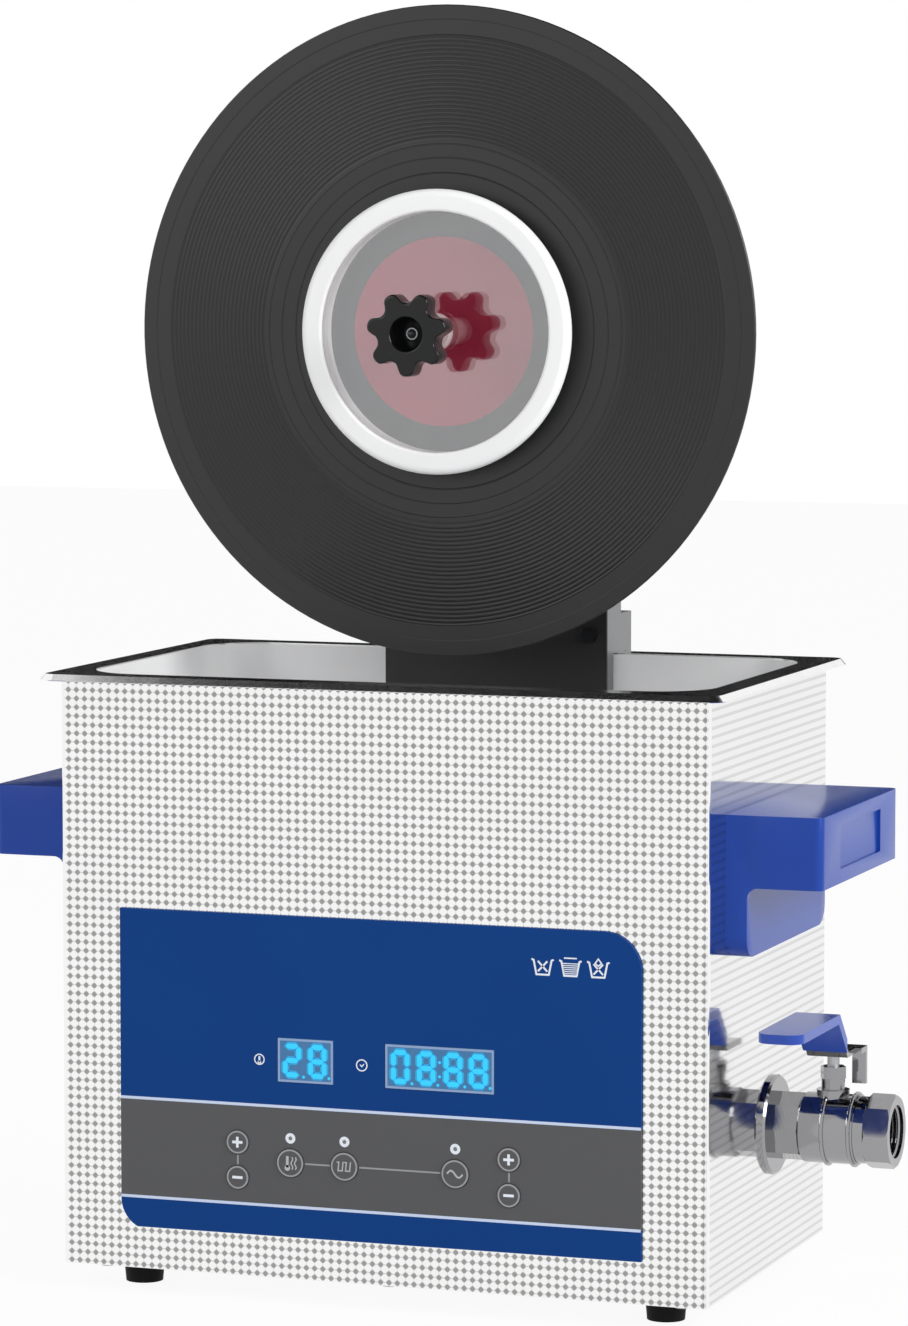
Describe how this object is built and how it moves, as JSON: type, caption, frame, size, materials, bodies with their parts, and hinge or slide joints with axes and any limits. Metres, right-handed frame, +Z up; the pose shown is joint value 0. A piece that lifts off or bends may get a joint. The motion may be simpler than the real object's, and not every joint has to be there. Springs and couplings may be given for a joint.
{
  "type": "ultrasonic record cleaning machine",
  "caption": "Heated stainless ultrasonic tub with a motor stand on its rim that turns a record and lowers it into the bath; carry handles and a drain valve.",
  "frame": {"origin": "on the table, below the middle of the overall box", "axes": "+Z up, -Y towards the control panel, +X towards the drain valve; the spindle lies along Y"},
  "size_m": [0.413, 0.253, 0.5903],
  "materials": {
    "stainless": "bright rolled stainless steel",
    "patterned_stainless": "embossed dots",
    "bracket_steel": "satin",
    "chrome": "polished",
    "steel": "zinc plated",
    "black_steel": "satin black",
    "black_oxide": "black oxide",
    "panel_blue": "printed film, satin",
    "display": "tinted window",
    "lens": "clear",
    "board": "coated",
    "heater": "silicone",
    "ceramic": "machined",
    "black_plastic": "fine grain",
    "grey_plastic": "fine grain",
    "rocker_red": "gloss",
    "handle_blue": "moulded, satin",
    "grip_blue": "dipped vinyl",
    "foot_rubber": "matt",
    "seal_rubber": "matt",
    "white_silicone": "satin",
    "ptfe": "smooth",
    "nylon": "smooth",
    "bronze": "sintered",
    "acrylic": "clear acrylic",
    "vinyl": "grooved",
    "label_paper": "plain paper",
    "button_grey": "printed film",
    "knob_black": "moulded"
  },
  "bodies": {
    "machine": {"tank_liner": "stainless", "outer_casing": "patterned_stainless", "base_plate": "stainless", "rubber_feet": "foot_rubber", "casing_screws": "steel", "control_panel": "panel_blue", "display_windows": "display", "indicator_lights": "lens", "control_board": "board", "heater_pads": "heater", "transducers": "ceramic", "generator_board": "board", "fan_frame": "black_plastic", "mains_inlet": "black_plastic", "switch_housing": "black_plastic", "handle_left": "handle_blue", "handle_right": "handle_blue", "drain_pipe": "stainless", "drain_gasket": "seal_rubber", "drain_flange": "chrome", "drain_nut": "steel", "valve_body": "chrome", "valve_seats": "ptfe", "valve_end": "chrome", "packing_nut": "chrome", "front_plate": "black_steel", "rim_bracket": "bracket_steel", "guide_rods": "chrome", "bracket_bolts": "black_oxide"},
    "lift_carriage": {"lift_block": "grey_plastic", "carriage_bushes": "bronze", "motor_screws": "steel", "gear_motor": "steel", "motor_cover": "grey_plastic", "motor_socket": "black_plastic"},
    "lock_slide": {"lock_washer": "bronze"},
    "lock_screw": {"lock_knob": "black_plastic"},
    "spindle": {"spindle_shaft": "stainless", "rear_spacer": "nylon", "rear_protector": "acrylic", "front_protector": "acrylic", "label_seals": "white_silicone", "record": "vinyl", "record_label": "label_paper"},
    "clamp_sleeve": {"thrust_sleeve": "nylon"},
    "clamp": {"clamp_knob": "knob_black"},
    "valve_handle": {"valve_ball": "chrome", "valve_stem": "steel", "valve_lever": "chrome", "lever_grip": "grip_blue", "lever_nut": "chrome"},
    "fan": {"fan_rotor": "grey_plastic"},
    "rocker": {"power_rocker": "rocker_red"},
    "temp_up_button": {"temp_up_button": "button_grey"},
    "temp_down_button": {"temp_down_button": "button_grey"},
    "heating_button": {"heating_button": "button_grey"},
    "degas_button": {"degas_button": "button_grey"},
    "ultrasonic_button": {"ultrasonic_button": "button_grey"},
    "time_up_button": {"time_up_button": "button_grey"},
    "time_down_button": {"time_down_button": "button_grey"}
  },
  "joints": [
    {"name": "lift_slide", "type": "slide", "parent": "machine", "child": "lift_carriage", "axis": [0, 0, 1], "range_m": [-0.095, 0]},
    {"name": "record_spin", "type": "hinge", "parent": "lift_carriage", "child": "spindle", "pos_m": [-0.014, -0.01, 0.4395], "axis": [0, -1, 0], "continuous": true},
    {"name": "clamp_slide", "type": "slide", "parent": "spindle", "child": "clamp_sleeve", "axis": [0, -1, 0], "range_m": [0, 0.002]},
    {"name": "clamp_turn", "type": "hinge", "parent": "clamp_sleeve", "child": "clamp", "pos_m": [-0.014, -0.01, 0.4395], "axis": [0, -1, 0], "range_deg": [0, 720]},
    {"name": "lock_slide", "type": "slide", "parent": "lift_carriage", "child": "lock_slide", "axis": [1, 0, 0], "range_m": [0, 0.0008]},
    {"name": "lock_turn", "type": "hinge", "parent": "lock_slide", "child": "lock_screw", "pos_m": [0.0448, 0.06725, 0.4395], "axis": [1, 0, 0], "range_deg": [0, 288]},
    {"name": "valve_turn", "type": "hinge", "parent": "machine", "child": "valve_handle", "pos_m": [0.1765, -0.014, 0.0775], "axis": [0, 0, 1], "range_deg": [0, 90]},
    {"name": "fan_spin", "type": "hinge", "parent": "machine", "child": "fan", "pos_m": [-0.099, 0.0653, 0.074], "axis": [0, 1, 0], "continuous": true},
    {"name": "power_rock", "type": "hinge", "parent": "machine", "child": "rocker", "pos_m": [0.039, 0.0715, 0.052], "axis": [-1, 0, 0], "range_deg": [0, 20]},
    {"name": "temp_up_press", "type": "slide", "parent": "machine", "child": "temp_up_button", "axis": [0, 1, 0], "range_m": [0, 0.0005], "stiffness_N_per_m": 1200, "springref_m": -0.0008},
    {"name": "temp_down_press", "type": "slide", "parent": "machine", "child": "temp_down_button", "axis": [0, 1, 0], "range_m": [0, 0.0005], "stiffness_N_per_m": 1200, "springref_m": -0.0008},
    {"name": "heating_press", "type": "slide", "parent": "machine", "child": "heating_button", "axis": [0, 1, 0], "range_m": [0, 0.0005], "stiffness_N_per_m": 1200, "springref_m": -0.0008},
    {"name": "degas_press", "type": "slide", "parent": "machine", "child": "degas_button", "axis": [0, 1, 0], "range_m": [0, 0.0005], "stiffness_N_per_m": 1200, "springref_m": -0.0008},
    {"name": "ultrasonic_press", "type": "slide", "parent": "machine", "child": "ultrasonic_button", "axis": [0, 1, 0], "range_m": [0, 0.0005], "stiffness_N_per_m": 1200, "springref_m": -0.0008},
    {"name": "time_up_press", "type": "slide", "parent": "machine", "child": "time_up_button", "axis": [0, 1, 0], "range_m": [0, 0.0005], "stiffness_N_per_m": 1200, "springref_m": -0.0008},
    {"name": "time_down_press", "type": "slide", "parent": "machine", "child": "time_down_button", "axis": [0, 1, 0], "range_m": [0, 0.0005], "stiffness_N_per_m": 1200, "springref_m": -0.0008}
  ],
  "couplings": [
    {"joint": "clamp_slide", "follows": "clamp_turn", "m_per_rad": 0.00015915},
    {"joint": "lock_turn", "follows": "lock_slide", "rad_per_m": 6283.2}
  ]
}
